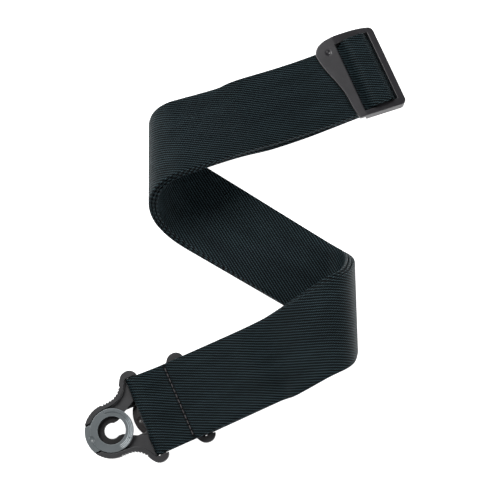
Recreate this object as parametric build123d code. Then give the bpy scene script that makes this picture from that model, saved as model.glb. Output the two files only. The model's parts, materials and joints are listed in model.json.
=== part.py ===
from build123d import *

import math
import os

import numpy as np

# Guitar strap, folded in a loose Z: a 50 mm webbing band with a locking end at each button and a
# three-bar adjuster. All sizes in mm. X runs left to right, Y away, Z up, the ground is at Z = 0.

# ---- webbing
WEB_W = 50.0  # width of the band
WEB_T = 1.8  # thickness of the band
LAYER = 2.15  # centre to centre of stacked layers
EDGES = np.array([-WEB_W / 2, WEB_W / 2])

# ---- where the folded band lies: the middle run, then a loop at each end of it
MID_POINT = (25.13, -17.43)
MID_ANGLE = -32.65  # direction of the middle run, towards the right loop
MID_HEIGHT = WEB_T / 2 + 0.1 + 2 * LAYER  # centre of the innermost layer on the middle run
SPREAD = 0.018  # outer layers drift sideways by this share of the length
LEVEL = 65.0  # length over which a run levels out behind its loop
SKEW = -0.56  # cross lines lean this much along the band, to lie along the loops' axes

# reach: from MID_POINT to the loop's reference line; axis: direction of the line it rolls about;
# start, turn: where rolling starts and how much length it takes; flare: growth of the turn along
# the axis; lean, rest: slope of the run just behind the loop, and at its end; peak: 1 bends most
# at mid-turn, below 0 bends most at both ends of the turn
LOOP_LEFT = dict(side=-1, reach=76.8, axis=86.2, start=5.0, turn=59.3, flare=-0.416,
                 lean=0.21, rest=0.10, peak=-0.3)
LOOP_RIGHT = dict(side=1, reach=80.1, axis=87.0, start=-40.5, turn=52.4, flare=0.208,
                  lean=0.41, rest=0.05, peak=-0.9)

# ---- locking ends
LOCK_A = (-85.37, -124.61)  # centre of the ring of the upper lock
LOCK_ANGLE = 24.0  # direction from the ring to the webbing bar
LOCK_PITCH = 30.8  # the lower lock sits this much further along
LOCK_A_Z = 8.8  # underside of the upper lock, which rests on the lower one
LOCK_B_Z = 0.0
HEAD_R = 16.9  # outside of the round head
RING_R = 13.4  # outside of the sliding ring
RING_HOLE_R = 8.6  # passes the head of a strap button
NECK_R = 4.85  # inside of the jaw, holds the neck of a strap button
TAB_W = 16.6  # width of the thumb tab
TAB_GAP_Y = 9.4  # half of the gap in the rim that the tab slides in
TRAVEL = 4.5  # travel of the slider
RIM_W = 3.1  # width of the raised rim
JAW_R = 9.6  # outside of the jaw plate
BUTTON_R = 8.6  # keyhole in the back plate, passes the head of a strap button
WINDOW_X = 19.1  # where the window for the webbing starts
SPRING_X0, SPRING_X1 = -6.0, 8.0  # the return springs' seats
SPRING_Y, SPRING_Z = 11.6, 2.55
SPRING_R, SPRING_WIRE, SPRING_TURNS = 1.0, 0.16, 9
LUG_T = 1.2  # thickness of the arms that carry the slider's spring lugs
NOTCHES, NOTCH_PITCH, NOTCH_R = 9, 1.9, 0.72  # grip notches along the outside of each arm
BACK_T = 1.2
PAD_Z = 4.4  # top of the recessed pads
RIM_Z = 7.0  # top of the raised rim
RING_Z0, RING_Z1 = 4.7, 7.4
RIDGE_Z = 8.1
BAR_X, BAR_Z, BAR_R = 23.5, 4.2, 1.9  # webbing bar
EAR_Y = 25.8  # inside of the ears
SEAM_X = 44.5  # stitching that closes the webbing's end round the upper lock's bar
WRAP_R = BAR_R + 0.35 + WEB_T / 2
THREAD = 0.6
STITCHES, STITCH_PITCH, STITCH_LENGTH = 13, 3.5, 2.9

# ---- adjuster
ADJ = (77.13, 112.57)  # centre of the centre bar
ADJ_ANGLE = 22.3
ADJ_Z0, ADJ_Z1 = 8.9, 12.4
ADJ_BAR_X0, ADJ_BAR_X1, ADJ_BAR_R = -2.4, 3.4, 1.5  # centre bar: ends of its flat, and its rounded edge
WIN_X0, WIN_X1 = -12.2, 11.1  # ends of the window
WIN_Y = 25.5
STACK_Z = 1.2  # lowest layer under the adjuster
TURN_X = 10.6  # where the webbing turns back under the right bar
ADJ_SEAM_X = -27.5  # stitching that closes the webbing's other end

CLEAR = 0.35


def eased(t):
    t = np.clip(t, 0.0, 1.0)
    return t - np.sin(2 * np.pi * t) / (2 * np.pi)


def heading(q, v, loop):
    """Slope angle of the innermost layer at developed length q, at place v along the axis."""
    start = loop["start"] - loop["flare"] / 2 * v
    turn = loop["turn"] + loop["flare"] * v
    t = np.clip((q - start) / turn, 0.0, 1.0)
    whole = np.pi + loop["lean"]
    angle = whole * (loop["peak"] * eased(t) + (1 - loop["peak"]) * t)
    return angle - (loop["lean"] - loop["rest"]) * eased((q - start - turn) / LEVEL)


def rolled(flat, v, loop, off, extra):
    """Place in the rolling plane of a layer off outside the innermost one, and extra off its middle."""
    low, high = flat - 4.0 * abs(off) - 1.0, flat + 4.0 * abs(off) + 1.0
    for _ in range(40):
        q = (low + high) / 2
        short = q + off * heading(q, v, loop) < flat
        low, high = np.where(short, q, low), np.where(short, high, q)
    start = loop["start"] - loop["flare"] / 2 * v
    steps = 120
    share = np.linspace(0.0, 1.0, steps + 1)[:, None]
    weight = np.ones(steps + 1)
    weight[1:-1:2], weight[2:-1:2] = 4.0, 2.0
    weight = weight[:, None] / (3.0 * steps)
    angle = heading(start + (q - start) * share, v, loop)
    u = start + (q - start) * (weight * np.cos(angle)).sum(0)
    z = MID_HEIGHT + (q - start) * (weight * np.sin(angle)).sum(0)
    end = heading(q, v, loop)
    return u + (off + extra) * np.sin(end), z - (off + extra) * np.cos(end)


def unit(degrees):
    return np.array([math.cos(math.radians(degrees)), math.sin(math.radians(degrees))])


def laid(s, w, layer, off):
    """Points of the folded band: s along it (right loop positive), w across it (numpy arrays)."""
    along = unit(MID_ANGLE)
    across = np.array([-along[1], along[0]])
    loop = LOOP_RIGHT if s.flat[0] >= 0 else LOOP_LEFT
    ref = np.array(MID_POINT) + loop["side"] * loop["reach"] * along
    axis = unit(loop["axis"])
    out = loop["side"] * np.array([axis[1], -axis[0]])
    side = w + SPREAD * layer * s
    rel = np.array(MID_POINT) + s[:, None] * along + side[:, None] * across - ref
    u, z = rolled(rel @ out, rel @ axis, loop, layer * LAYER, off)
    plan = ref + u[:, None] * out + (rel @ axis)[:, None] * axis
    return np.column_stack([plan, z])


def hermite(p0, d0, p1, d1, n, reach=None):
    """Smooth path from p0 heading d0 to p1 heading d1, without its first point."""
    p0, p1, d0, d1 = (np.array(a, float) for a in (p0, p1, d0, d1))
    size = reach or np.linalg.norm(p1 - p0)
    d0, d1 = d0 / np.linalg.norm(d0) * size, d1 / np.linalg.norm(d1) * size
    t = np.linspace(0, 1, n + 1)[1:, None]
    return list((2 * t**3 - 3 * t**2 + 1) * p0 + (t**3 - 2 * t**2 + t) * d0
                + (3 * t**2 - 2 * t**3) * p1 + (t**3 - t**2) * d1)


def arc(centre, radius, start, stop, n):
    """Arc in the x-z plane from angle start to stop, degrees, without its first point."""
    return [np.array(centre) + radius * unit(start + (stop - start) * i / n)
            for i in range(1, n + 1)]


class Path:
    """A layer's path in a fitting's own x-z plane, with lengths and normals."""

    def __init__(self, points, side):
        self.p = np.array(points, float)
        step = np.linalg.norm(np.diff(self.p, axis=0), axis=1)
        self.t = np.concatenate([[0.0], np.cumsum(step)])
        tangent = np.gradient(self.p, self.t, axis=0)
        tangent /= np.linalg.norm(tangent, axis=1)[:, None]
        self.n = side * np.column_stack([-tangent[:, 1], tangent[:, 0]])

    def at(self, t, off):
        pos = [np.interp(t, self.t, self.p[:, i]) for i in (0, 1)]
        nor = [np.interp(t, self.t, self.n[:, i]) for i in (0, 1)]
        size = math.hypot(*nor)
        return pos[0] + off * nor[0] / size, pos[1] + off * nor[1] / size

    def step(self, t):
        """Shorter steps where the path bends ahead."""
        for step, limit in ((5.0, 0.05), (2.0, 0.14)):
            here, *ahead = [np.subtract(self.at(t + part * step, 1.0), self.at(t + part * step, 0.0))
                            for part in (0.0, 0.5, 1.0)]
            if max(np.linalg.norm(normal - here) for normal in ahead) < limit:
                return step
        return 0.8

    def length_at_x(self, x):
        """Length at which the first, nearly straight part of the path reaches x."""
        head = slice(0, HEAD_N)
        order = np.argsort(self.p[head, 0])
        return float(np.interp(x, self.p[head, 0][order], self.t[head][order]))


def flat_row(s, layer, off):
    """A cross line on the middle run, which lies flat."""
    along = unit(MID_ANGLE)
    across = np.array([-along[1], along[0]])
    side = EDGES + SPREAD * layer * s
    plan = np.array(MID_POINT) + s[:, None] * along + side[:, None] * across
    return np.column_stack([plan, np.full(2, MID_HEIGHT - layer * LAYER - off)])


HEAD_N = 40  # points in the straight lead-in of every path


def row_in(fitting, path, t, off):
    """One row of points across the band, in the frame of a fitting."""
    origin, angle = fitting
    e = unit(angle)
    n = np.array([-e[1], e[0]])
    x, z = path.at(t, off)
    plan = np.array(origin) + x * e + EDGES[:, None] * n
    return np.column_stack([plan, np.full(2, z)])


def run_rows(layer, side, fitting, path, loop_end, blend, off):
    """Cross lines from the strap's middle, through one loop, on to the end of a fitting's path."""
    e = unit(fitting[1])
    s0, s1 = blend[0] + layer * LAG, blend[1] + layer * LAG
    loop_end += layer * LAG
    centre = laid(np.array([side * s1]), np.array([0.0]), layer, 0.0)[0]
    t1 = path.length_at_x(float((centre[:2] - np.array(fitting[0])) @ e))
    rows = []
    s = 0.0 if side > 0 else 4.0
    while s < s1 - 1.0:
        lean = SKEW * (1 - float(eased((s - loop_end) / (s1 - loop_end))))
        where = side * s + lean * EDGES
        fold = laid(where, EDGES, layer, off) if s > 20 else flat_row(where, layer, off)
        b = float(eased((s - s0) / (s1 - s0)))
        if b > 0:
            fold = (1 - b) * fold + b * row_in(fitting, path, t1 - (s1 - s), off)
        rows.append(fold)
        s += 10.0 if s < 15 else 4.0
    t = t1
    while t < path.t[-1] - 0.3:
        rows.append(row_in(fitting, path, t, off))
        t += path.step(t)
    rows.append(row_in(fitting, path, path.t[-1], off))
    return rows


def lead(x0, z0, slope0, x1, z1, slope1):
    """Straight-ish lead-in of a path, HEAD_N points."""
    sign = 1 if x1 > x0 else -1
    first = np.array([x0, z0])
    return [first] + hermite(first, (sign, slope0), (x1, z1), (sign, slope1), HEAD_N - 1)


def lock_path(layer):
    """Path of a layer from the fold side to the locks; x from the upper lock's ring."""
    bar_b = (BAR_X + LOCK_PITCH, LOCK_B_Z + BAR_Z)
    bar_a = (BAR_X, LOCK_A_Z + BAR_Z)
    if layer == 2:
        tail_z = bar_a[1] - WRAP_R
        pts = lead(150.0, 15.6, -0.02, 58.0, tail_z + LAYER, 0.0)
        pts += [np.array([x, tail_z + LAYER]) for x in np.linspace(56.0, SEAM_X - 2.0, 8)]
        pts += hermite(pts[-1], (-1, 0), (bar_a[0] + 1.0, bar_a[1] + WRAP_R - 0.02), (-1, 0.0), 24)
        pts += [np.array([bar_a[0], bar_a[1] + WRAP_R])]
        pts += arc(bar_a, WRAP_R, 90, 270, 24)
        pts += [np.array([x, tail_z]) for x in np.linspace(bar_a[0] + 2, SEAM_X + 6.0, 10)]
    elif layer == 0:
        pts = lead(150.0, 11.2, -0.03, bar_b[0] + 9, bar_b[1] - WRAP_R + 0.7, -0.1)
        pts += hermite(pts[-1], (-1, -0.1), (bar_b[0], bar_b[1] - WRAP_R), (-1, 0), 12)
        pts += arc(bar_b, WRAP_R, 270, 180, 12)
    else:
        pts = lead(150.0, 13.4, -0.03, bar_b[0] + 9, bar_b[1] + WRAP_R, 0.0)
        pts += hermite(pts[-1], (-1, 0), (bar_b[0], bar_b[1] + WRAP_R), (-1, 0), 12)
        pts += arc(bar_b, WRAP_R, 90, 180, 12)
    return Path(pts, -1)


def adjuster_outer(off):
    """Path of the outer layer over the centre bar, moved inwards by off."""
    zc = (ADJ_Z0 + ADJ_Z1) / 2
    z_in = STACK_Z + 3 * LAYER
    r = ADJ_BAR_R + CLEAR + WEB_T / 2 + LAYER
    pts = lead(-150.0, z_in + 30.0, -0.30, -24.0, z_in, 0.0)
    pts += [np.array([x, z_in]) for x in np.linspace(-22.0, -11.6, 8)]
    top = np.array([ADJ_BAR_X0, zc]) + r * unit(140)
    pts += hermite(pts[-1], (1, 0), top, (math.cos(math.radians(50)), math.sin(math.radians(50))), 16,
                   reach=11.0)
    pts += arc((ADJ_BAR_X0, zc), r, 140, 90, 10)
    pts += arc((ADJ_BAR_X1, zc), r, 90, 20, 14)
    path = Path(pts, 1)
    return [np.array(path.at(t, -off)) for t in path.t]


def adjuster_path(layer):
    """Path of a layer from the fold side through the adjuster; x from its centre bar."""
    zc = (ADJ_Z0 + ADJ_Z1) / 2
    r_in = ADJ_BAR_R + CLEAR + WEB_T / 2
    if layer == 2:
        pts = adjuster_outer(0.0)
        half = (3 * LAYER) / 2
        turn_x, turn_z = TURN_X, STACK_Z + half
        pts += hermite(pts[-1], (math.sin(math.radians(20)), -math.cos(math.radians(20))),
                       (turn_x, turn_z + half), (1, -0.05), 10, reach=4.5)
        pts += arc((turn_x, turn_z), half, 90, -90, 20)
    elif layer == 0:
        pts = lead(-150.0, STACK_Z + 30.0 - LAYER, -0.30, -42.0, STACK_Z, 0.0)
        pts += [np.array([x, STACK_Z]) for x in np.linspace(-38.0, TURN_X, 14)]
    else:
        pts = adjuster_outer(LAYER)
        pts += arc((ADJ_BAR_X1, zc), r_in, 20, -90, 16)
        pts += [np.array([ADJ_BAR_X0, zc - r_in])]
        pts += hermite(pts[-1], (-1, 0), (-15.0, STACK_Z + LAYER), (-1, 0), 16)
        pts += [np.array([x, STACK_Z + LAYER]) for x in np.linspace(-17.0, -36.0, 8)]
    return Path(pts, 1)


LOCK_FRAME = (LOCK_A, LOCK_ANGLE)
ADJ_FRAME = (ADJ, ADJ_ANGLE)
LOCK_RUN = (100.0, (100.0, 152.0))  # where the right loop ends, and where the run joins the lock's path
ADJ_RUN = (150.0, (156.0, 206.0))
LAG = 8.2  # every layer further out needs this much more length round a loop


def layer_rows(layer, off):
    """All rows of one layer, from its lock end to its adjuster end."""
    right = run_rows(layer, 1, LOCK_FRAME, lock_path(layer), *LOCK_RUN, off)
    left = run_rows(layer, -1, ADJ_FRAME, adjuster_path(layer), *ADJ_RUN, off)
    return right[::-1] + left


def band():
    """The whole webbing, one band: upper lock's end, adjuster, lower lock, back to the adjuster."""
    rows = {k: (layer_rows(k, WEB_T / 2), layer_rows(k, -WEB_T / 2)) for k in (0, 1, 2)}
    for end, other in ((-1, 2), (0, 1)):  # the layers turn into each other at the adjuster and the lock
        for a, b in ((0, 1), (1, 0)):
            rows[other][a][end] = rows[0][b][end]
    up = rows[2][0] + rows[0][1][::-1][1:] + rows[1][0][1:]
    down = rows[2][1] + rows[0][0][::-1][1:] + rows[1][1][1:]
    sections = [[Vector(*p) for p in (a[0], a[1], b[1], b[0])] for a, b in zip(up, down)]

    def patch(p0, p1, q0, q1):
        return Face.make_surface_from_curves(Edge.make_line(p0, p1), Edge.make_line(q0, q1))

    faces = [patch(c[i], c[(i + 1) % 4], d[i], d[(i + 1) % 4])
             for c, d in zip(sections, sections[1:]) for i in range(4)]
    faces += [patch(c[0], c[1], c[3], c[2]) for c in (sections[0], sections[-1])]
    return Solid(Shell(faces))


# ---- locks, in their own frame: x from the ring's centre towards the webbing, z up from the base
ARM = [(-1.0, 16.87), (3.0, 17.1), (7.5, 17.7), (11.2, 19.8), (13.8, 22.8), (15.7, 26.3), (17.8, 28.9),
       (21.1, 30.1), (24.4, 29.4), (26.5, 27.3), (27.0, 25.8)]  # outside edge of one arm and its ear


def outline(inset=0.0):
    """Plan of the lock: round head, two arms flaring out to the ears."""
    radius = HEAD_R - inset
    back = math.sqrt(radius**2 - 1.0)
    edge = np.array(ARM)
    slope = np.gradient(edge, axis=0)
    slope /= np.linalg.norm(slope, axis=1)[:, None]
    edge += inset * np.column_stack([slope[:, 1], -slope[:, 0]])
    left = [(-1.0, back)] + [tuple(p) for p in edge[1:]]
    right = [(x, -y) for x, y in left]
    head = ThreePointArc(right[0], (-radius, 0), left[0])
    return make_face([head, Spline(left), Line(left[-1], right[-1]), Spline(right)])


def slab(face, z0, z1):
    return Pos(0, 0, z0) * extrude(face, z1 - z0)


def block(x0, x1, y0, y1, z0, z1):
    return Pos((x0 + x1) / 2, (y0 + y1) / 2, (z0 + z1) / 2) * Box(abs(x1 - x0), abs(y1 - y0), z1 - z0)


def disc(radius, z0, z1):
    return Pos(0, 0, (z0 + z1) / 2) * Cylinder(radius, z1 - z0)


FAR = 40.0
MOUTH = Polygon((6.0, -7.0), (10.4, -7.4), (19.4, -11.8), (19.4, 11.8), (10.4, 7.4), (6.0, 7.0), align=None)


def notches():
    """Centres of the grip notches, evenly spaced along an arm's outside edge."""
    edge = np.array(ARM)
    length = np.concatenate([[0.0], np.cumsum(np.linalg.norm(np.diff(edge, axis=0), axis=1))])
    at = 1.5 + NOTCH_PITCH * np.arange(NOTCHES)
    return zip(np.interp(at, length, edge[:, 0]), np.interp(at, length, edge[:, 1]))


def lock_frame():
    body = slab(outline(), BACK_T, RIM_Z)
    body -= slab(outline(RIM_W), PAD_Z, FAR) & block(-FAR, WINDOW_X, -FAR, FAR, 0, FAR)
    body -= block(WINDOW_X, FAR, -EAR_Y, EAR_Y, 0, FAR)
    body -= slab(MOUTH, 0, FAR)
    body -= disc(JAW_R + 0.05, 0, FAR)
    body -= disc(RING_R + 0.3, PAD_Z, FAR)
    body -= block(-FAR, -5.0, -TAB_GAP_Y, TAB_GAP_Y, PAD_Z, FAR)
    for side in (-1, 1):
        body -= block(SPRING_X0 - 1.8, SPRING_X1, side * SPRING_Y - 1.1, side * SPRING_Y + 1.1, 0, 3.9)
        body -= block(SPRING_X0 - 1.8, SPRING_X0 + TRAVEL + 0.3, side * (SPRING_Y - 2.8),
                      side * (SPRING_Y + 1.1), PAD_Z, RING_Z0 + LUG_T + 0.3)
        body -= block(SPRING_X0 - 1.8, SPRING_X0 + TRAVEL + 0.3, side * (SPRING_Y - 1.1),
                      side * (SPRING_Y + 1.1), 0, RING_Z0 + LUG_T + 0.3)
        for x, y in notches():
            body -= Pos(x, side * y, RIM_Z / 2) * Cylinder(NOTCH_R, RIM_Z + 1.0)
    bar = Pos(BAR_X, 0, BAR_Z) * Rot(90, 0, 0) * Cylinder(BAR_R, 2 * EAR_Y + 2.0)
    return body + bar


def lock_back_plate():
    plate = slab(outline(0.5), 0, BACK_T)
    plate -= block(WINDOW_X + 1.1, FAR, -EAR_Y + 0.4, EAR_Y - 0.4, -1, FAR)
    plate -= disc(BUTTON_R, -1, FAR)
    plate -= block(0, FAR, -BUTTON_R, BUTTON_R, -1, FAR)
    return plate


def lock_slider():
    """Ring with its thumb tab, a raised ridge on the strap side, and a lug for each spring."""
    ring = disc(RING_R, RING_Z0, RING_Z1)
    tab = disc(HEAD_R - 0.3, RING_Z0, RIM_Z) & block(-FAR, -6.0, -TAB_W / 2, TAB_W / 2, 0, FAR)
    body = ring + tab - Pos(-13.4, 0, RIM_Z + 2.6) * Sphere(3.0)
    ridge = disc(RING_R, RING_Z1 - 0.2, RIDGE_Z) - disc(RING_R - 2.0, 0, FAR)
    ridge -= block(-FAR, 0.0, -FAR, FAR, 0, FAR) + Rot(0, 0, -45) * block(-FAR, FAR, -FAR, 0.0, 0, FAR)
    body += ridge
    body -= disc(RING_HOLE_R, 0, FAR)
    for side in (-1, 1):
        lug = block(SPRING_X0 - 1.5, SPRING_X0, side * SPRING_Y - 0.8, side * SPRING_Y + 0.8,
                    BACK_T + 0.35, RING_Z0 + LUG_T)
        arm = block(SPRING_X0 - 1.5, SPRING_X0, side * (SPRING_Y - 2.6), side * (SPRING_Y + 0.8),
                    RING_Z0, RING_Z0 + LUG_T)
        body += lug + arm
    return body


def lock_jaw():
    """Plate with a C-shaped mouth, open towards the webbing, that holds the button's neck."""
    jaw = disc(JAW_R, BACK_T, PAD_Z - 0.05) - disc(NECK_R, 0, FAR)
    mouth = Polygon((0, -3.9), (5.3, -4.4), (JAW_R + 1, -6.6), (JAW_R + 1, 6.6), (5.3, 4.4), (0, 3.9),
                    align=None)
    return jaw - slab(mouth, 0, FAR)


def lock_spring(side):
    coil = Helix(pitch=(SPRING_X1 - SPRING_X0 - 0.6) / SPRING_TURNS, height=SPRING_X1 - SPRING_X0 - 0.6,
                 radius=SPRING_R - SPRING_WIRE)
    wire = sweep(Plane(origin=coil @ 0, z_dir=coil % 0) * Circle(SPRING_WIRE), path=coil,
                 is_frenet=True)
    return Pos(SPRING_X0 + 0.3, side * SPRING_Y, SPRING_Z) * Rot(0, 90, 0) * wire


def placed(shape, lock):
    """A lock's part, put in its place: lock 0 is the upper one, 1 the lower one."""
    x, y = np.array(LOCK_A) + lock * LOCK_PITCH * unit(LOCK_ANGLE)
    return Pos(x, y, (LOCK_A_Z, LOCK_B_Z)[lock]) * Rot(0, 0, LOCK_ANGLE) * shape


# ---- adjuster, in its own frame: x from the centre bar, y along it
LOBE = [(-27.0, 23.3), (-22.6, 29.0), (-14.0, 31.2), (-1.4, 31.0), (7.6, 29.9)]
LOBE_LOW = [(-16.7, -28.6), (-18.3, -23.0), (-19.3, -11.4), (-22.3, 1.8), (-25.7, 13.4), (-27.0, 23.3)]
ADJ_RIGHT = 15.75  # outside of the right bar
ADJ_CORNER, ADJ_LOW_CORNER = 4.2, 3.4  # radii of its two outer corners
RAIL_Z = 4.6  # the side rails reach down to this height beside the webbing
LOBE_SLOPE = 6.0  # the left bar falls away from the window, degrees


def corner(x, y, radius, start, stop):
    """Arc round (x, y) from angle start to stop, degrees."""
    return ThreePointArc(*[tuple(np.array([x, y]) + radius * unit(a)) for a in (start, (start + stop) / 2, stop)])


def adjuster():
    """Moulded three-bar slide, its left bar widening into a lobe."""
    high = corner(ADJ_RIGHT - ADJ_CORNER, 24.6, ADJ_CORNER, 76, 0)
    low = corner(ADJ_RIGHT - ADJ_LOW_CORNER, -27.2, ADJ_LOW_CORNER, 0, -86)
    top = Spline(LOBE + [tuple(high @ 0)[:2]])
    face = make_face([top, high, Line(high @ 1, low @ 0), low, Line(low @ 1, LOBE_LOW[0]), Spline(LOBE_LOW)])
    body = slab(face, ADJ_Z0, ADJ_Z1)
    for side in (-1, 1):
        body += slab(face, RAIL_Z, ADJ_Z0) & block(WIN_X0, FAR, side * WIN_Y, side * FAR, 0, FAR)
    body -= block(WIN_X0, WIN_X1, -WIN_Y, WIN_Y, 0, FAR)
    section = Pos(0, 0, (ADJ_Z0 + ADJ_Z1) / 2) * block(
        ADJ_BAR_X0, ADJ_BAR_X1, -WIN_Y - 1, WIN_Y + 1, -ADJ_BAR_R, ADJ_BAR_R)
    for x in (ADJ_BAR_X0, ADJ_BAR_X1):
        section += Pos(x, 0, (ADJ_Z0 + ADJ_Z1) / 2) * Rot(90, 0, 0) * Cylinder(
            ADJ_BAR_R, 2 * WIN_Y + 2)
    body -= Pos(WIN_X0, 0, ADJ_Z1) * Rot(0, -LOBE_SLOPE, 0) * block(-FAR, 0, -FAR, FAR, 0, FAR)
    body -= Pos(-18.7, 21.7, ADJ_Z1 + 1.6) * Sphere(3.0)
    body += section
    return Pos(ADJ[0], ADJ[1], 0) * Rot(0, 0, ADJ_ANGLE) * body


def seam(fitting, x, z0, z1):
    """A row of stitches across the band, each a loop of thread round two layers."""
    rows = []
    for k in range(STITCHES):
        y = (k - (STITCHES - 1) / 2) * STITCH_PITCH
        half = STITCH_LENGTH / 2
        loop = block(x - THREAD / 2, x + THREAD / 2, y - half, y + half, z0 - THREAD, z1 + THREAD)
        loop -= block(x - THREAD, x + THREAD, y - half + THREAD, y + half - THREAD, z0, z1)
        rows.append(loop)
    (px, py), angle = fitting
    return Pos(px, py, 0) * Rot(0, 0, angle) * Compound(rows)


os.makedirs("parts", exist_ok=True)
TAIL_Z = LOCK_A_Z + BAR_Z - WRAP_R
shapes = {
    "webbing": band(),
    "seam_lock_a": seam(LOCK_FRAME, SEAM_X, TAIL_Z - WEB_T / 2, TAIL_Z + LAYER + WEB_T / 2),
    "seam_adjuster": seam(ADJ_FRAME, ADJ_SEAM_X, STACK_Z + LAYER - WEB_T / 2, STACK_Z + 2 * LAYER + WEB_T / 2),
    "adjuster": adjuster(),
}
for lock, name in enumerate(("lock_a", "lock_b")):
    shapes[name + "_frame"] = placed(lock_frame(), lock)
    shapes[name + "_back_plate"] = placed(lock_back_plate(), lock)
    shapes[name + "_slider"] = placed(lock_slider(), lock)
    shapes[name + "_jaw"] = placed(lock_jaw(), lock)
    shapes[name + "_spring_left"] = placed(lock_spring(1), lock)
    shapes[name + "_spring_right"] = placed(lock_spring(-1), lock)
for node, shape in shapes.items():
    export_step(shape, "parts/" + node + ".step")
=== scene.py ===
import json
import math

import bmesh
import bpy
import numpy as np
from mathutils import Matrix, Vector


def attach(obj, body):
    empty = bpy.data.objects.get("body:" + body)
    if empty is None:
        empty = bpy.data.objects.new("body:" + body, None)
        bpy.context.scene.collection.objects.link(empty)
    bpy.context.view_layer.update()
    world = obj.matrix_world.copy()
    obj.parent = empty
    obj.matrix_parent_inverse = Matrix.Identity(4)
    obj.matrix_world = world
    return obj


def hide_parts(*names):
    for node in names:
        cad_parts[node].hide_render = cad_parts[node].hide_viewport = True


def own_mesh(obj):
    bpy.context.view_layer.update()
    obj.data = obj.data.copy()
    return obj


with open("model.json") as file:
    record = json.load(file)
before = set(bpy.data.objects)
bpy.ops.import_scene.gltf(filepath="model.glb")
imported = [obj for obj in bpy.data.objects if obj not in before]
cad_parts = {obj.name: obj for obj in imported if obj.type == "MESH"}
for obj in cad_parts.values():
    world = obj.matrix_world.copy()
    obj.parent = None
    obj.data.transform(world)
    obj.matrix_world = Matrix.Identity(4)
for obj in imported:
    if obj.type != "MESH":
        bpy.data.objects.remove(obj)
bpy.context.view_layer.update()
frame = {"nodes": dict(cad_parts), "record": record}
BODY_OF = {node: body for body, nodes in frame["record"]["behaviour"]["bodies"].items() for node in nodes}
MM = 0.001

# ---- webbing, sizes in mm, laid as in the CAD
WEB_W, WEB_T = 50.0, 1.8
LAYER = 2.15  # from one layer to the next
EDGES = np.array([-WEB_W / 2, WEB_W / 2])
MID_POINT = (25.13, -17.43)
MID_ANGLE = -32.65
MID_HEIGHT = WEB_T / 2 + 0.1 + 2 * LAYER
SPREAD = 0.018  # sideways shift of each further layer, as a share of the way from the middle
LEVEL = 65.0  # length in which a run levels out after its loop
SKEW = -0.56  # lean of the cross lines, until they straighten on the way to a fitting
LAG = 8.2  # each further layer gets to the same place this much later along the band
LOOP_LEFT = dict(side=-1, reach=76.8, axis=86.2, start=5.0, turn=59.3, flare=-0.416,
                 lean=0.21, rest=0.10, peak=-0.3)
LOOP_RIGHT = dict(side=1, reach=80.1, axis=87.0, start=-40.5, turn=52.4, flare=0.208,
                  lean=0.41, rest=0.05, peak=-0.9)
FLAT_HALF = 20.0  # the middle run is level this far each way
FLAT_STEP, FOLD_STEP = 10.0, 4.0  # from one cross line to the next
HEAD_N = 40  # points in the first, nearly straight part of a path

# ---- locks and adjuster
CLEAR = 0.35  # between a bar and the webbing round it
LOCK_A, LOCK_ANGLE, LOCK_PITCH = (-85.37, -124.61), 24.0, 30.8
LOCK_SHIFT = {"lock_a": 0.0, "lock_b": LOCK_PITCH}
LOCK_Z = {"lock_a": 8.8, "lock_b": 0.0}
BAR_X, BAR_Z, BAR_R = 23.5, 4.2, 1.9
SEAM_X = 44.5
WRAP_R = BAR_R + CLEAR + WEB_T / 2
TAIL_Z = LOCK_Z["lock_a"] + BAR_Z - WRAP_R  # height of the tail under the upper lock's bar
ADJ, ADJ_ANGLE = (77.13, 112.57), 22.3
ADJ_Z0, ADJ_Z1 = 8.9, 12.4
ADJ_BAR_X0, ADJ_BAR_X1, ADJ_BAR_R = -2.4, 3.4, 1.5
STACK_Z, TURN_X, ADJ_SEAM_X = 1.2, 10.6, -27.5
STITCHES, STITCH_PITCH, THREAD = 13, 3.5, 0.6
WEFT, WARP = 1.26, 0.59  # pitches of the weave
SELVEDGE, SCALLOP = 1.0, 0.22  # width of the wavy edge, and how far it waves each way


def linked(name, data):
    """A new object in the scene."""
    thing = bpy.data.objects.new(name, data)
    bpy.context.collection.objects.link(thing)
    return thing


def eased(t):
    """Smooth step from 0 to 1."""
    t = np.clip(t, 0.0, 1.0)
    return t - np.sin(2 * np.pi * t) / (2 * np.pi)


def heading(q, v, loop):
    """Slope angle of the innermost layer at developed length q, at place v along the axis."""
    start = loop["start"] - loop["flare"] / 2 * v
    turn = loop["turn"] + loop["flare"] * v
    t = np.clip((q - start) / turn, 0.0, 1.0)
    whole = np.pi + loop["lean"]
    angle = whole * (loop["peak"] * eased(t) + (1 - loop["peak"]) * t)
    return angle - (loop["lean"] - loop["rest"]) * eased((q - start - turn) / LEVEL)


HALVINGS, SIMPSON_STEPS = 40, 120  # of the search and the sum below


def rolled(flat, v, loop, off):
    """Place in the rolling plane of a layer off outside the innermost one."""
    low, high = flat - 4.0 * abs(off) - 1.0, flat + 4.0 * abs(off) + 1.0
    for _ in range(HALVINGS):
        q = (low + high) / 2
        short = q + off * heading(q, v, loop) < flat
        low, high = np.where(short, q, low), np.where(short, high, q)
    start = loop["start"] - loop["flare"] / 2 * v
    share = np.linspace(0.0, 1.0, SIMPSON_STEPS + 1)[:, None]
    weight = np.ones(SIMPSON_STEPS + 1)
    weight[1:-1:2], weight[2:-1:2] = 4.0, 2.0
    weight = weight[:, None] / (3.0 * SIMPSON_STEPS)
    angle = heading(start + (q - start) * share, v, loop)
    u = start + (q - start) * (weight * np.cos(angle)).sum(0)
    z = MID_HEIGHT + (q - start) * (weight * np.sin(angle)).sum(0)
    end = heading(q, v, loop)
    return u + off * np.sin(end), z - off * np.cos(end)


def unit(degrees):
    """Unit vector at an angle in a plane."""
    return np.array([math.cos(math.radians(degrees)), math.sin(math.radians(degrees))])


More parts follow.
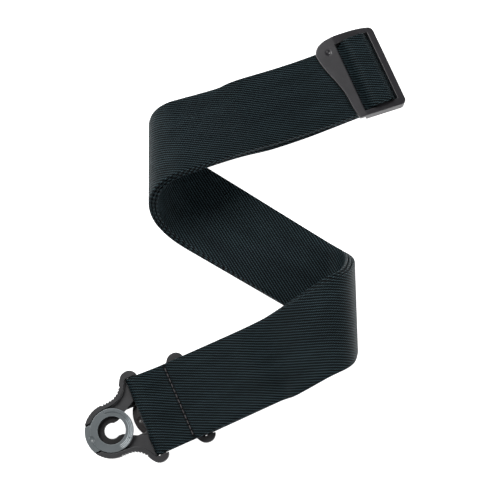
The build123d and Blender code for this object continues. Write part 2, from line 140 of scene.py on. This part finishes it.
def unfolded(s, layer):
    """Plan points of a cross line before folding: s along the band at each edge, right loop positive."""
    along = unit(MID_ANGLE)
    across = np.array([-along[1], along[0]])
    side = EDGES + SPREAD * layer * s
    return np.array(MID_POINT) + s[:, None] * along + side[:, None] * across


def lock_point(lock, x=0.0):
    """Plan point of a lock, x along it from the centre of its ring."""
    return np.array(LOCK_A) + (LOCK_SHIFT[lock] + x) * unit(LOCK_ANGLE)


def laid(s, layer):
    """A cross line of the folded band: x, y, z and s at each edge."""
    loop = LOOP_RIGHT if s[0] >= 0 else LOOP_LEFT
    ref = np.array(MID_POINT) + loop["side"] * loop["reach"] * unit(MID_ANGLE)
    axis = unit(loop["axis"])
    out = loop["side"] * np.array([axis[1], -axis[0]])
    rel = unfolded(s, layer) - ref
    u, z = rolled(rel @ out, rel @ axis, loop, layer * LAYER)
    plan = ref + u[:, None] * out + (rel @ axis)[:, None] * axis
    return np.column_stack([plan, z, s])


def flat_row(s, layer):
    """A cross line on the middle run, which lies flat."""
    return np.column_stack([unfolded(s, layer), np.full(2, MID_HEIGHT - layer * LAYER), s])


def hermite(p0, d0, p1, d1, n, reach=None):
    """Smooth path from p0 heading d0 to p1 heading d1, without its first point."""
    p0, p1, d0, d1 = (np.array(a, float) for a in (p0, p1, d0, d1))
    size = reach or np.linalg.norm(p1 - p0)
    d0, d1 = d0 / np.linalg.norm(d0) * size, d1 / np.linalg.norm(d1) * size
    t = np.linspace(0, 1, n + 1)[1:, None]
    return list((2 * t**3 - 3 * t**2 + 1) * p0 + (t**3 - 2 * t**2 + t) * d0
                + (3 * t**2 - 2 * t**3) * p1 + (t**3 - t**2) * d1)


def arc(centre, radius, start, stop, n):
    """Arc in the x-z plane from angle start to stop, degrees, without its first point."""
    return [np.array(centre) + radius * unit(start + (stop - start) * i / n) for i in range(1, n + 1)]


class Path:
    """A layer's path in a fitting's own x-z plane, with lengths and normals."""

    def __init__(self, points, side):
        self.p = np.array(points, float)
        step = np.linalg.norm(np.diff(self.p, axis=0), axis=1)
        self.t = np.concatenate([[0.0], np.cumsum(step)])
        tangent = np.gradient(self.p, self.t, axis=0)
        tangent /= np.linalg.norm(tangent, axis=1)[:, None]
        self.n = side * np.column_stack([-tangent[:, 1], tangent[:, 0]])

    def at(self, t, off=0.0):
        pos = [np.interp(t, self.t, self.p[:, i]) for i in (0, 1)]
        nor = [np.interp(t, self.t, self.n[:, i]) for i in (0, 1)]
        size = math.hypot(*nor)
        return pos[0] + off * nor[0] / size, pos[1] + off * nor[1] / size

    def step(self, t):
        """Shorter steps where the path bends ahead."""
        for step, limit in ((5.0, 0.05), (2.0, 0.14)):
            here, *ahead = [np.subtract(self.at(t + part * step, 1.0), self.at(t + part * step, 0.0))
                            for part in (0.0, 0.5, 1.0)]
            if max(np.linalg.norm(normal - here) for normal in ahead) < limit:
                return step
        return 0.8

    def length_at_x(self, x):
        """Length at which the first, nearly straight part of the path reaches x."""
        order = np.argsort(self.p[:HEAD_N, 0])
        return float(np.interp(x, self.p[:HEAD_N, 0][order], self.t[:HEAD_N][order]))


def lead(x0, z0, slope0, x1, z1, slope1):
    """Nearly straight lead-in of a path, HEAD_N points."""
    sign = 1 if x1 > x0 else -1
    first = np.array([x0, z0])
    return [first] + hermite(first, (sign, slope0), (x1, z1), (sign, slope1), HEAD_N - 1)


def level(start, stop, z, n):
    """Level stretch of a path from x start to x stop, n points."""
    return [np.array([x, z]) for x in np.linspace(start, stop, n)]


def lock_path(layer):
    """Path of a layer from the fold side to the locks; x from the upper lock's ring."""
    bar_b = (BAR_X + LOCK_PITCH, LOCK_Z["lock_b"] + BAR_Z)
    bar_a = (BAR_X, LOCK_Z["lock_a"] + BAR_Z)
    if layer == 2:
        pts = lead(150.0, 15.6, -0.02, 58.0, TAIL_Z + LAYER, 0.0)
        pts += level(56.0, SEAM_X - 2.0, TAIL_Z + LAYER, 8)
        pts += hermite(pts[-1], (-1, 0), (bar_a[0] + 1.0, bar_a[1] + WRAP_R - 0.02), (-1, 0.0), 24)
        pts += [np.array([bar_a[0], bar_a[1] + WRAP_R])]
        pts += arc(bar_a, WRAP_R, 90, 270, 24)
        pts += level(bar_a[0] + 2, SEAM_X + 6.0, TAIL_Z, 10)
    elif layer == 0:
        pts = lead(150.0, 11.2, -0.03, bar_b[0] + 9, bar_b[1] - WRAP_R + 0.7, -0.1)
        pts += hermite(pts[-1], (-1, -0.1), (bar_b[0], bar_b[1] - WRAP_R), (-1, 0), 12)
        pts += arc(bar_b, WRAP_R, 270, 180, 12)
    else:
        pts = lead(150.0, 13.4, -0.03, bar_b[0] + 9, bar_b[1] + WRAP_R, 0.0)
        pts += hermite(pts[-1], (-1, 0), (bar_b[0], bar_b[1] + WRAP_R), (-1, 0), 12)
        pts += arc(bar_b, WRAP_R, 90, 180, 12)
    return Path(pts, -1)


def adjuster_outer(off):
    """Path of the outer layer over the centre bar, moved inwards by off."""
    zc = (ADJ_Z0 + ADJ_Z1) / 2
    z_in = STACK_Z + 3 * LAYER
    r = ADJ_BAR_R + CLEAR + WEB_T / 2 + LAYER
    pts = lead(-150.0, z_in + 30.0, -0.30, -24.0, z_in, 0.0)
    pts += level(-22.0, -11.6, z_in, 8)
    top = np.array([ADJ_BAR_X0, zc]) + r * unit(140)
    pts += hermite(pts[-1], (1, 0), top, unit(50), 16, reach=11.0)
    pts += arc((ADJ_BAR_X0, zc), r, 140, 90, 10)
    pts += arc((ADJ_BAR_X1, zc), r, 90, 20, 14)
    path = Path(pts, 1)
    return [np.array(path.at(t, -off)) for t in path.t]


def adjuster_path(layer):
    """Path of a layer from the fold side through the adjuster; x from its centre bar."""
    zc = (ADJ_Z0 + ADJ_Z1) / 2
    r_in = ADJ_BAR_R + CLEAR + WEB_T / 2
    if layer == 2:
        pts = adjuster_outer(0.0)
        half = (3 * LAYER) / 2
        pts += hermite(pts[-1], -unit(110), (TURN_X, STACK_Z + 2 * half), (1, -0.05), 10, reach=4.5)
        pts += arc((TURN_X, STACK_Z + half), half, 90, -90, 20)
    elif layer == 0:
        pts = lead(-150.0, STACK_Z + 30.0 - LAYER, -0.30, -42.0, STACK_Z, 0.0)
        pts += level(-38.0, TURN_X, STACK_Z, 14)
    else:
        pts = adjuster_outer(LAYER)
        pts += arc((ADJ_BAR_X1, zc), r_in, 20, -90, 16)
        pts += [np.array([ADJ_BAR_X0, zc - r_in])]
        pts += hermite(pts[-1], (-1, 0), (-15.0, STACK_Z + LAYER), (-1, 0), 16)
        pts += level(-17.0, -36.0, STACK_Z + LAYER, 8)
    return Path(pts, 1)


# a fitting's origin and angle; then, along the band from its middle, where the cross lines start to
# straighten and the span in which the fold passes over to the fitting's path
LOCK_FRAME, LOCK_RUN = (LOCK_A, LOCK_ANGLE), (100.0, (100.0, 152.0))
ADJ_FRAME, ADJ_RUN = (ADJ, ADJ_ANGLE), (150.0, (156.0, 206.0))


def row_in(fitting, path, t, s):
    """A cross line in a fitting's frame, at length t of its path, which is s along the band."""
    origin, angle = fitting
    e = unit(angle)
    x, z = path.at(t)
    plan = np.array(origin) + x * e + EDGES[:, None] * np.array([-e[1], e[0]])
    return np.column_stack([plan, np.full(2, z), np.full(2, s)])


def run_rows(layer, side, fitting, path, loop_end, blend):
    """Cross lines from the strap's middle, through one loop, on to the end of a fitting's path."""
    s0, s1 = blend[0] + layer * LAG, blend[1] + layer * LAG
    loop_end += layer * LAG
    centre = laid(np.full(2, side * s1), layer).mean(0)
    t1 = path.length_at_x(float((centre[:2] - np.array(fitting[0])) @ unit(fitting[1])))
    rows = []
    s = 0.0 if side > 0 else FOLD_STEP
    while s < s1 - 1.0:
        lean = SKEW * (1 - float(eased((s - loop_end) / (s1 - loop_end))))
        where = side * s + lean * EDGES
        fold = laid(where, layer) if s > FLAT_HALF else flat_row(where, layer)
        b = float(eased((s - s0) / (s1 - s0)))
        if b > 0:
            fold = (1 - b) * fold + b * row_in(fitting, path, t1 - (s1 - s), side * s)
        rows.append(fold)
        s += FLAT_STEP if s < FLAT_HALF - FLAT_STEP / 2 else FOLD_STEP
    t = t1
    while t < path.t[-1] - 0.3:
        rows.append(row_in(fitting, path, t, side * (s1 + t - t1)))
        t += path.step(t)
    rows.append(row_in(fitting, path, path.t[-1], side * (s1 + path.t[-1] - t1)))
    return rows


def layer_rows(layer):
    """Cross lines of one layer from its lock end to its adjuster end: x, y, z and place along it."""
    right = run_rows(layer, 1, LOCK_FRAME, lock_path(layer), *LOCK_RUN)
    left = run_rows(layer, -1, ADJ_FRAME, adjuster_path(layer), *ADJ_RUN)
    return np.array(right[::-1] + left)


def fine(rows, pitch):
    """The same cross lines, close together on a smooth curve through them."""
    t = np.concatenate([[0.0], np.cumsum(np.linalg.norm(np.diff(rows.mean(1)[:, :3], axis=0), axis=1))])
    slope = np.gradient(rows, t, axis=0)
    count = int(t[-1] / pitch)
    at = np.linspace(0, t[-1], count + 1)
    k = np.clip(np.searchsorted(t, at, side="right") - 1, 0, len(t) - 2)
    h = (t[k + 1] - t[k])[:, None, None]
    f = ((at - t[k])[:, None, None]) / h
    return ((2 * f**3 - 3 * f**2 + 1) * rows[k] + (f**3 - 2 * f**2 + f) * h * slope[k]
            + (3 * f**2 - 2 * f**3) * rows[k + 1] + (f**3 - f**2) * h * slope[k + 1])


def section():
    """Outline of the band's cross section: place across it and height, round at the selvedges."""
    round_w = 0.8
    flat = np.linspace(-WEB_W / 2 + round_w, WEB_W / 2 - round_w, 19)
    turn = np.radians([-54, -18, 18, 54])
    right = [(WEB_W / 2 - round_w + round_w * math.cos(a), -WEB_T / 2 * math.sin(a)) for a in turn]
    top = [(w, WEB_T / 2) for w in flat]
    return top + right + [(-w, -z) for w, z in top] + [(-w, -z) for w, z in right]


def band_rows():
    """All cross lines of the band, end to end, which side of it faces up in each, and its length."""
    layers = {k: fine(layer_rows(k), WEFT / 2) for k in (0, 1, 2)}
    rows = np.concatenate([layers[2], layers[0][::-1][1:], layers[1][1:]])
    flip = np.concatenate([np.ones(len(layers[2])), -np.ones(len(layers[0]) - 1),
                           np.ones(len(layers[1]) - 1)])
    length = sum(np.linalg.norm(np.diff(layer.mean(1)[:, :3], axis=0), axis=1).sum()
                 for layer in layers.values())
    return rows, flip, length


def normals(rows):
    """Unit normal of the band at each cross line."""
    tangent = np.gradient(rows[:, :, :3].mean(1), axis=0)
    cross = rows[:, 1, :3] - rows[:, 0, :3]
    cross /= np.linalg.norm(cross, axis=1)[:, None]
    normal = np.cross(tangent, cross)
    return normal / np.linalg.norm(normal, axis=1)[:, None]


def webbing():
    """The band as one closed mesh, with a map of millimetres along and across it, and its length."""
    rows, flip, length = band_rows()
    normal = normals(rows)
    outline = section()
    n = len(outline)
    verts, maps = [], []
    for i, row in enumerate(rows):
        scallop = SCALLOP * (1 if (i // 2) % 2 else -1)
        for w, z in outline:
            edge = scallop * max(0.0, abs(w) - WEB_W / 2 + SELVEDGE)
            f = 0.5 + (w + math.copysign(edge, w)) / WEB_W
            point = (1 - f) * row[0] + f * row[1]
            verts.append((point[:3] + z * normal[i]) * MM)
            face = 1 if z * flip[i] > 0 else -1
            maps.append((point[3], w * face))
    faces = [(i * n + j, i * n + (j + 1) % n, (i + 1) * n + (j + 1) % n, (i + 1) * n + j)
             for i in range(len(rows) - 1) for j in range(n)]
    faces += [tuple(range(n))[::-1], tuple(range((len(rows) - 1) * n, len(rows) * n))]
    mesh = bpy.data.meshes.new("webbing_cloth")
    mesh.from_pydata([tuple(v) for v in verts], [], faces)
    uv = mesh.uv_layers.new(name="weave")
    index = np.zeros(len(mesh.loops), np.int32)
    mesh.loops.foreach_get("vertex_index", index)
    uv.data.foreach_set("uv", np.array(maps)[index].ravel())
    mesh.shade_smooth()
    bm = bmesh.new()
    bm.from_mesh(mesh)
    bmesh.ops.recalc_face_normals(bm, faces=bm.faces)
    bm.to_mesh(mesh)
    bm.free()
    return linked("webbing_cloth", mesh), length


# ---- materials
GRAIN_DEPTH = 0.00003  # of moulded plastic, metres
RIDGE_PITCH = 0.95  # of the ring's ridges, mm
# lock B's slider lies partly under lock A; its darker tones are painted shade
RING_TONES = {"lock_a": ((0.098, 0.112, 0.118), (0.135, 0.152, 0.160)),
              "lock_b": ((0.022, 0.019, 0.019), (0.030, 0.026, 0.026))}


class Nodes:
    """Short calls that add shader nodes to a new material."""

    def __init__(self, name, roughness, specular=0.5):
        self.mat = bpy.data.materials.new(name)
        self.mat.use_nodes = True
        self.tree = self.mat.node_tree
        self.shader = self.tree.nodes["Principled BSDF"]
        self.shader.inputs["Roughness"].default_value = roughness
        self.shader.inputs["Specular IOR Level"].default_value = specular

    def add(self, kind, inputs=(), **settings):
        node = self.tree.nodes.new("ShaderNode" + kind)
        for key, value in settings.items():
            setattr(node, key, value)
        for key, value in dict(inputs).items():
            self.put(node.inputs[key], value)
        return node

    def put(self, socket, value):
        if isinstance(value, bpy.types.NodeSocket):
            self.tree.links.new(value, socket)
        else:
            socket.default_value = value

    def math(self, operation, a, b=0.0, c=0.0):
        return self.add("Math", {0: a, 1: b, 2: c}, operation=operation).outputs[0]

    def ramp(self, value, *stops):
        node = self.add("ValToRGB", {0: value})
        band = node.color_ramp
        for element, (at, colour) in zip(band.elements, (stops[0], stops[-1])):
            element.position, element.color = at, (*colour, 1)
        for at, colour in stops[1:-1]:
            band.elements.new(at).color = (*colour, 1)
        return node.outputs[0]

    def noise(self, vector, scale, detail=2.0, roughness=0.5):
        return self.add("TexNoise", {"Vector": vector, "Scale": scale, "Detail": detail,
                                     "Roughness": roughness}).outputs["Fac"]

    def remap(self, value, low, high, to_low=0.0, to_high=1.0):
        """Value carried from one span to another, and held inside it."""
        return self.add("MapRange", {0: value, 1: low, 2: high, 3: to_low, 4: to_high}).outputs[0]

    def mix(self, share, first, colour):
        return self.add("Mix", {0: share, 6: first, 7: (*colour, 1)}, data_type="RGBA").outputs[2]

    def plane(self, x, y):
        return self.add("CombineXYZ", {0: x, 1: y}).outputs[0]

    def vector(self, operation, output, a, b=(0.0, 0.0, 0.0)):
        return self.add("VectorMath", {0: a, 1: b}, operation=operation).outputs[output]

    def bump(self, height, distance, strength, normal=None):
        inputs = {"Height": height, "Distance": distance, "Strength": strength}
        if normal:
            inputs["Normal"] = normal
        return self.add("Bump", inputs).outputs[0]

    def set(self, socket, value):
        self.put(self.shader.inputs[socket], value)


def grey(value):
    return (value, value, value)


def webbing_material(seam_s):
    """Warp-faced twill: floats over two picks, each warp end a third of a repeat on from the last."""
    m = Nodes("webbing_twill", 0.62, 0.08)
    uv = m.add("UVMap", uv_map="weave").outputs[0]
    u, v = m.add("SeparateXYZ", {0: uv}).outputs[:2]
    wander = m.noise(m.plane(u, v), 0.35)
    ends = m.math("DIVIDE", m.math("MULTIPLY_ADD", wander, 0.5, v), WARP)
    end = m.math("FLOOR", ends)
    across = m.math("SUBTRACT", m.math("FRACT", ends), 0.5)
    yarn = m.math("SUBTRACT", 1.0, m.math("MULTIPLY", m.math("MULTIPLY", across, across), 3.8))
    phase = m.math("DIVIDE", m.math("SUBTRACT", m.math("DIVIDE", u, WEFT), end), 3.0)
    over = m.math("MINIMUM", m.math("DIVIDE", m.math("FRACT", phase), 0.74), 1.0)
    lift = m.math("SINE", m.math("MULTIPLY", over, math.pi))
    height = m.math("MULTIPLY", yarn, m.math("POWER", lift, 0.9))
    # needle holes, with painted shade in them, and a painted shadow along the seam
    along = m.math("ABSOLUTE", m.math("SUBTRACT", u, seam_s))
    share = m.math("SUBTRACT", m.math("FRACT", m.math("DIVIDE", v, STITCH_PITCH)), 0.5)
    beside = m.math("MULTIPLY", share, STITCH_PITCH)
    hole = m.math("SQRT", m.math("ADD", m.math("MULTIPLY", along, along), m.math("MULTIPLY", beside, beside)))
    outside = m.remap(hole, 0.5, 0.95)
    seam_shade = m.remap(along, 0.2, 1.8, 0.6)
    # loose fibres, and slow changes of tone
    fuzz = m.noise(m.plane(u, m.math("MULTIPLY", v, 4.0)), 1.4, 3.0, 0.7)
    patch = m.noise(m.plane(m.math("MULTIPLY", u, 0.25), v), 0.09)
    # the weave's relief painted into the colour: painted shade in the grooves between yarns and a painted
    # highlight on their crests, varied at random by loose fibres and patches
    tone_and_shade = m.math("MULTIPLY", height, m.math("MULTIPLY_ADD", fuzz, 0.7, 0.62))
    tone_and_shade = m.math("MULTIPLY", tone_and_shade, m.math("MULTIPLY_ADD", patch, 0.5, 0.75))
    # painted shade in the needle holes and a painted shadow along the seam
    tone_and_shade = m.math("MULTIPLY", tone_and_shade, m.math("MULTIPLY", outside, seam_shade))
    m.set("Base Color", m.ramp(tone_and_shade, (0.0, (0.0002, 0.0006, 0.0008)), (0.42, (0.0030, 0.0064, 0.0082)),
                               (1.0, (0.056, 0.092, 0.106))))
    m.set("Roughness", m.math("MULTIPLY_ADD", fuzz, 0.2, 0.5))
    m.set("Sheen Weight", 0.05)
    m.set("Sheen Roughness", 0.3)
    m.set("Sheen Tint", (0.75, 0.9, 1.0, 1.0))
    relief = m.bump(m.math("MULTIPLY", height, outside), 0.00022, 0.9)
    m.set("Normal", m.bump(fuzz, 0.00006, 0.5, relief))
    return m.mat


def moulded_base(m, dark, light):
    """Fine spark grain, faint flow marks, and a tone between dark and light that follows both."""
    place = m.add("TexCoord").outputs["Object"]
    grain = m.noise(place, 2600.0, 2.0, 0.6)
    marks = m.noise(place, 120.0, 3.0)
    both = m.math("MULTIPLY_ADD", grain, 0.3, m.math("MULTIPLY", marks, 0.7))
    return place, grain, marks, m.ramp(both, (0.25, dark), (0.75, light))


def moulded_material(name, colour, roughness, edge_highlight_colour):
    """Moulded plastic, with a painted highlight on its edges, mottled by the flow marks."""
    m = Nodes(name, roughness)
    dark, light = [tuple(share * c for c in colour) for share in (0.8, 1.2)]
    _, grain, marks, base = moulded_base(m, dark, light)
    edge = m.remap(m.add("NewGeometry").outputs["Pointiness"], 0.51, 0.60)
    edge_highlight = m.math("MULTIPLY", edge, m.math("MULTIPLY_ADD", marks, 0.9, 0.25))
    # painted highlight: the edges mixed towards a lighter colour
    m.set("Base Color", m.mix(edge_highlight, base, edge_highlight_colour))
    m.set("Roughness", m.math("MULTIPLY_ADD", marks, 0.12, roughness - 0.06))
    m.set("Normal", m.bump(grain, GRAIN_DEPTH, 0.6))
    return m.mat


def ring_material(lock, dark, light):
    """Slider plastic, with fine ridges round the strap side of the ring, and a painted highlight on the ridge
    crests and the edges.
    """
    m = Nodes(lock + "_slider_acetal", 0.36)
    place, grain, marks, base = moulded_base(m, dark, light)
    x, y = lock_point(lock) * MM
    away = m.vector("SUBTRACT", 0, place, (x, y, 0.0))
    plan = m.vector("MULTIPLY", 0, away, (1.0, 1.0, 0.0))
    radius = m.vector("LENGTH", "Value", plan)
    e = unit(LOCK_ANGLE)
    ridged_way = (e[0] * 0.82 + e[1] * 0.57, e[1] * 0.82 - e[0] * 0.57, 0.0)
    ahead = m.vector("DOT_PRODUCT", "Value", plan, ridged_way)
    strap_side = m.remap(m.math("DIVIDE", ahead, radius), 0.62, 0.80)
    outer = m.remap(radius, 9.9 * MM, 10.3 * MM)
    wave = m.math("SINE", m.math("MULTIPLY", radius, 2 * math.pi / (RIDGE_PITCH * MM)))
    ridges = m.math("MULTIPLY_ADD", wave, 0.5, 0.5)
    cut = m.math("MULTIPLY", ridges, m.math("MULTIPLY", strap_side, outer))
    edge = m.remap(m.add("NewGeometry").outputs["Pointiness"], 0.51, 0.57, 0.0, 0.7)
    # painted highlight: ridge crests and edges mixed towards a colour much lighter than the plastic
    m.set("Base Color", m.mix(m.math("MAXIMUM", cut, edge), base, [3.2 * c for c in light]))
    m.set("Roughness", m.math("MULTIPLY_ADD", marks, 0.12, 0.30))
    m.set("Normal", m.bump(grain, GRAIN_DEPTH, 0.6, m.bump(cut, 0.00025, 0.8)))
    return m.mat


def thread_material():
    m = Nodes("thread_twist", 0.6, 0.4)
    place = m.add("TexCoord").outputs["Object"]
    ply = m.add("TexWave", {"Vector": place, "Scale": 900.0, "Distortion": 1.5}, wave_type="BANDS",
                bands_direction="DIAGONAL").outputs["Fac"]
    m.set("Base Color", m.ramp(ply, (0.0, (0.022, 0.020, 0.022)), (1.0, (0.13, 0.12, 0.125))))
    m.set("Normal", m.bump(ply, 0.00008, 0.8))
    return m.mat


def steel_material():
    m = Nodes("spring_steel", 0.3)
    place = m.add("TexCoord").outputs["Object"]
    drawn = m.noise(place, 1800.0, 2.0)
    m.set("Metallic", 1.0)
    m.set("Base Color", m.ramp(drawn, (0.3, grey(0.42)), (0.7, grey(0.6))))
    m.set("Roughness", m.math("MULTIPLY_ADD", drawn, 0.2, 0.2))
    return m.mat


def floor_material():
    m = Nodes("studio_paper", 0.9, 0.1)
    place = m.add("TexCoord").outputs["Object"]
    m.set("Base Color", m.ramp(m.noise(place, 40.0, 3.0), (0.3, grey(0.90)), (0.7, grey(0.93))))
    m.set("Emission Color", (1.0, 1.0, 1.0, 1.0))
    m.set("Emission Strength", 1.0)
    return m.mat


# ---- pieces
def stand_in(piece, node, material):
    """The piece with one material, shown in place of a CAD node and moving with its body."""
    piece.data.materials.clear()
    piece.data.materials.append(material)
    piece.data.shade_smooth()
    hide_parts(node)
    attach(piece, BODY_OF[node])
    return piece


def moulded(node, material, voxel=0.25, smooth=5):
    """A rounded copy of a CAD part, in place of its sharp-edged solid; voxel in mm."""
    piece = linked(node + "_moulded", frame["nodes"][node].data.copy())
    remesh = piece.modifiers.new("skin", "REMESH")
    remesh.mode, remesh.voxel_size = "VOXEL", voxel * MM
    soften = piece.modifiers.new("soften", "SMOOTH")
    soften.factor, soften.iterations = 0.5, smooth
    baked = bpy.data.meshes.new_from_object(piece.evaluated_get(bpy.context.evaluated_depsgraph_get()))
    piece.modifiers.clear()
    piece.data = baked
    return stand_in(piece, node, material)


def coil(node, material):
    """A return spring, which in the real lock shortens towards its fixed end as the slider comes in; here a
    copy of its CAD part with a mesh of its own, moving with its body.
    """
    piece = stand_in(linked(node + "_coil", frame["nodes"][node].data.copy()), node, material)
    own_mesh(piece)
    return piece


def stitches(node, fitting, x, top, bottom):
    """A seam: each stitch a rounded loop of thread, drawn down into the cloth at both ends."""
    curve = bpy.data.curves.new(node + "_thread", "CURVE")
    curve.dimensions = "3D"
    curve.bevel_depth, curve.bevel_resolution = THREAD / 2 * MM, 3
    origin, angle = fitting
    e = unit(angle)
    across = np.array([-e[1], e[0]])
    half = STITCH_PITCH / 2 - 0.4
    outline = [(-half, top - 0.7), (-half * 0.8, top), (0, top + 0.3), (half * 0.8, top),
               (half, top - 0.7), (half, bottom + 0.7), (half * 0.8, bottom),
               (0, bottom - 0.3), (-half * 0.8, bottom), (-half, bottom + 0.7)]
    for k in range(STITCHES):
        y0 = (k - (STITCHES - 1) / 2) * STITCH_PITCH
        spline = curve.splines.new("NURBS")
        spline.points.add(len(outline) - 1)
        spline.use_cyclic_u, spline.order_u = True, 3
        for point, (y, z) in zip(spline.points, outline):
            plan = np.array(origin) + x * e + (y0 + y) * across
            point.co = (plan[0] * MM, plan[1] * MM, z * MM, 1)
    draft = bpy.data.objects.new(node + "_draft", curve)
    mesh = bpy.data.meshes.new_from_object(draft)
    bpy.data.objects.remove(draft)
    return stand_in(linked(node + "_thread", mesh), node, thread_material())


def place_along_band(x):
    """Place along the band of the outer layer where it crosses x in the lock's frame."""
    middle = layer_rows(2).mean(1)
    at = (middle[:, :2] - np.array(LOCK_A)) @ unit(LOCK_ANGLE)
    near = (at > BAR_X + 1.5) & (at < 60) & (middle[:, 2] > TAIL_Z + 1)
    run = sorted(zip(at[near], middle[near, 3]))
    return float(np.interp(x, [a for a, _ in run], [s for _, s in run]))


cloth, cloth_length = webbing()
cloth.data.materials.append(webbing_material(place_along_band(SEAM_X)))
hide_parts("webbing")
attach(cloth, BODY_OF["webbing"])

seam_top = TAIL_Z + LAYER + WEB_T / 2
seam_a = stitches("seam_lock_a", LOCK_FRAME, SEAM_X, seam_top, seam_top - LAYER - WEB_T)
seam_b = stitches("seam_adjuster", ADJ_FRAME, ADJ_SEAM_X, STACK_Z + 2 * LAYER + WEB_T / 2,
                  STACK_Z + LAYER - WEB_T / 2)

# the last colour given to each is its painted edge highlight
frame_plastic = moulded_material("frame_nylon", (0.026, 0.026, 0.028), 0.42, (0.10, 0.105, 0.11))
back_plastic = moulded_material("back_plate_nylon", (0.016, 0.016, 0.017), 0.5, (0.04, 0.04, 0.04))
adjuster_plastic = moulded_material("adjuster_nylon", (0.020, 0.019, 0.022), 0.38, (0.06, 0.06, 0.062))
jaw_plastic = moulded_material("jaw_acetal", (0.010, 0.0095, 0.010), 0.35, (0.03, 0.03, 0.03))
spring_steel = steel_material()

moulded("adjuster", adjuster_plastic, 0.3)
for lock in ("lock_a", "lock_b"):
    moulded(lock + "_frame", frame_plastic, 0.2, 4)
    moulded(lock + "_back_plate", back_plastic, 0.3)
    moulded(lock + "_slider", ring_material(lock, *RING_TONES[lock]), 0.2, 3)
    moulded(lock + "_jaw", jaw_plastic)
    for side in ("left", "right"):
        coil(f"{lock}_spring_{side}", spring_steel)

# ---- studio, camera: metres and degrees
FLOOR_HALF, FLOOR_DROP = 6.0, 0.0003
ELEVATION, DISTANCE, FIELD = 76.63, 0.700, 26.2
AIM = Vector((-0.00067, -0.00733, 0.0))


def floor():
    corners = [(x * FLOOR_HALF, y * FLOOR_HALF, 0) for x, y in ((-1, -1), (1, -1), (1, 1), (-1, 1))]
    mesh = bpy.data.meshes.new("floor")
    mesh.from_pydata(corners, [], [(0, 1, 2, 3)])
    mesh.materials.append(floor_material())
    ground = linked("floor", mesh)
    ground.location.z = -FLOOR_DROP
    return ground


def facing(direction):
    """Rotation of a lamp or camera that looks along a direction."""
    return direction.to_track_quat("-Z", "Y").to_euler()


def area_light(name, location, size, power):
    """A square lamp that points at the middle of the floor."""
    light = bpy.data.lights.new(name, "AREA")
    light.size, light.energy = size, power
    lamp = linked(name, light)
    lamp.location = location
    lamp.rotation_euler = facing(-Vector(location))


def surroundings():
    """A white studio that is darker overhead, behind the camera."""
    world = bpy.data.worlds.new("studio")
    world.use_nodes = True
    tree = world.node_tree
    ray = tree.nodes.new("ShaderNodeTexCoord")
    split = tree.nodes.new("ShaderNodeSeparateXYZ")
    light = tree.nodes.new("ShaderNodeMapRange")
    for socket, value in enumerate((0.86, 0.99, 0.95, 0.30), start=1):  # upward part, then strength
        light.inputs[socket].default_value = value
    tree.links.new(ray.outputs["Generated"], split.inputs[0])
    tree.links.new(split.outputs[2], light.inputs[0])
    tree.links.new(light.outputs[0], tree.nodes["Background"].inputs[1])
    return world


floor()
area_light("key", (-0.9, 0.7, 1.3), 0.9, 30.0)
area_light("fill", (1.1, -0.5, 1.2), 1.0, 14.0)
bpy.context.scene.world = surroundings()
bpy.context.scene.view_settings.view_transform = "Standard"

lens = bpy.data.cameras.new("camera")
lens.angle = math.radians(FIELD)
camera = linked("camera", lens)
away = Vector((0.0, -math.cos(math.radians(ELEVATION)), math.sin(math.radians(ELEVATION))))
camera.location = AIM + DISTANCE * away
camera.rotation_euler = facing(-away)
bpy.context.scene.camera = camera
